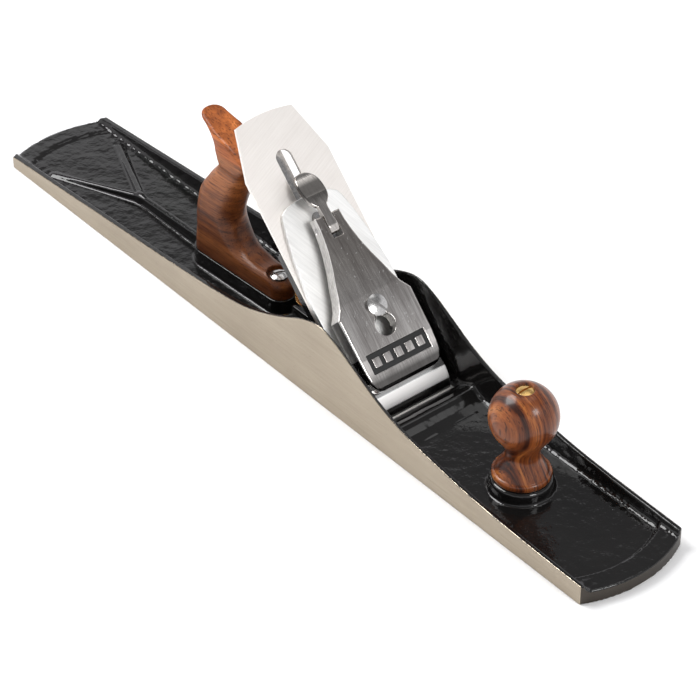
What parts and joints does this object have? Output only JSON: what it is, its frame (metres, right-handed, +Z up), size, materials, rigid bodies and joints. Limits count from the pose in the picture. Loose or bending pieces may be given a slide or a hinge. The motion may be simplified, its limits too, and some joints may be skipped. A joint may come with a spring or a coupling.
{
  "type": "jointer plane",
  "caption": "Long metal bench plane with a low-sided iron sole, adjustable frog, cutter with cap iron, quick-release lever cap, wooden rear handle and front knob.",
  "frame": {"origin": "centre of the sole's flat underside", "axes": "+X along the sole towards the toe, +Y to the left seen from behind, +Z up from the sole"},
  "size_m": [0.56, 0.075, 0.1367],
  "materials": {
    "ground_iron": "fine ground satin",
    "japanning": "thick gloss black over rough casting",
    "cutter_steel": "bright satin, brushed across",
    "cap_iron_steel": "bright brushed",
    "lever_cap_plate": "polished plate, lightly scuffed",
    "steel": "machined satin",
    "spring_steel": "blued satin",
    "brass": "satin",
    "tote_wood": "oiled satin, diagonal grain",
    "knob_wood": "lacquered gloss, dark stripes"
  },
  "bodies": {
    "sole": {"bed": "ground_iron", "tote": "tote_wood", "tote_rod": "steel", "tote_nut": "brass", "tote_toe_screw": "steel", "knob": "knob_wood", "knob_rod": "steel", "knob_nut": "brass", "frog_screws": "steel", "frog_screw_washers": "steel"},
    "frog": {"frog": "japanning", "frog_clip": "steel", "frog_clip_screw": "steel", "depth_stud": "steel", "y_lever_pin": "steel", "lateral_lever_rivet": "steel"},
    "frog_adjuster": {"frog_adjusting_screw": "steel"},
    "depth_collar": {"depth_collar": "brass"},
    "depth_wheel": {"depth_wheel": "brass"},
    "y_lever": {"y_lever": "steel"},
    "lateral_lever": {"lateral_lever": "steel", "lateral_lever_disc": "steel"},
    "feed": {"cap_iron_screw": "steel"},
    "irons": {"cutter": "cutter_steel", "cap_iron": "cap_iron_steel"},
    "lever_cap": {"lever_cap": "lever_cap_plate", "cam_lever_pin": "steel", "leaf_spring": "spring_steel", "leaf_spring_rivet": "steel"},
    "cam_lever": {"cam_lever": "lever_cap_plate"},
    "lever_cap_screw": {"lever_cap_screw": "steel"}
  },
  "joints": [
    {"name": "frog_slide", "type": "slide", "parent": "sole", "child": "frog", "axis": [1, 0, 0], "range_m": [-0.0015, 0.001]},
    {"name": "frog_adjuster_turn", "type": "hinge", "parent": "frog", "child": "frog_adjuster", "pos_m": [0, 0, 0.0175], "axis": [1, 0, 0], "range_deg": [-541, 361]},
    {"name": "depth_feed", "type": "slide", "parent": "frog", "child": "feed", "axis": [0.7071, 0, -0.7071], "range_m": [-0.0025, 0.001]},
    {"name": "collar_slide", "type": "slide", "parent": "frog", "child": "depth_collar", "axis": [1, 0, 0], "range_m": [-0.00157, 0.00393]},
    {"name": "wheel_spin", "type": "hinge", "parent": "depth_collar", "child": "depth_wheel", "pos_m": [0.003, 0, 0.04], "axis": [1, 0, 0], "range_deg": [-1334, 534]},
    {"name": "y_lever_tilt", "type": "hinge", "parent": "frog", "child": "y_lever", "pos_m": [0.02, 0, 0.05728], "axis": [0, 1, 0], "range_deg": [-13.03, 5.21]},
    {"name": "irons_tilt", "type": "hinge", "parent": "feed", "child": "irons", "pos_m": [0.00232, 0, 0.08768], "axis": [0.7071, 0, 0.7071], "range_deg": [-1, 1]},
    {"name": "lateral_lever_swing", "type": "hinge", "parent": "frog", "child": "lateral_lever", "pos_m": [0.00727, 0, 0.07283], "axis": [0.7071, 0, 0.7071], "range_deg": [-2.65, 2.65]},
    {"name": "lever_cap_slide", "type": "slide", "parent": "frog", "child": "lever_cap", "axis": [-0.7071, 0, 0.7071], "range_m": [0, 0.012]},
    {"name": "cam_lever_turn", "type": "hinge", "parent": "lever_cap", "child": "cam_lever", "pos_m": [0.01448, 0, 0.08994], "axis": [0, 1, 0], "range_deg": [0, 95]},
    {"name": "lever_cap_screw_turn", "type": "hinge", "parent": "frog", "child": "lever_cap_screw", "pos_m": [0.04475, 0, 0.04525], "axis": [0.7071, 0, 0.7071], "range_deg": [-180, 180]}
  ],
  "couplings": [
    {"joint": "frog_adjuster_turn", "follows": "frog_slide", "rad_per_m": 6283.2},
    {"joint": "wheel_spin", "follows": "depth_feed", "rad_per_m": 9309.3},
    {"joint": "collar_slide", "follows": "depth_feed", "ratio": -1.5705},
    {"joint": "y_lever_tilt", "follows": "depth_feed", "rad_per_m": 90.909},
    {"joint": "lateral_lever_swing", "follows": "irons_tilt", "ratio": 2.6471}
  ]
}
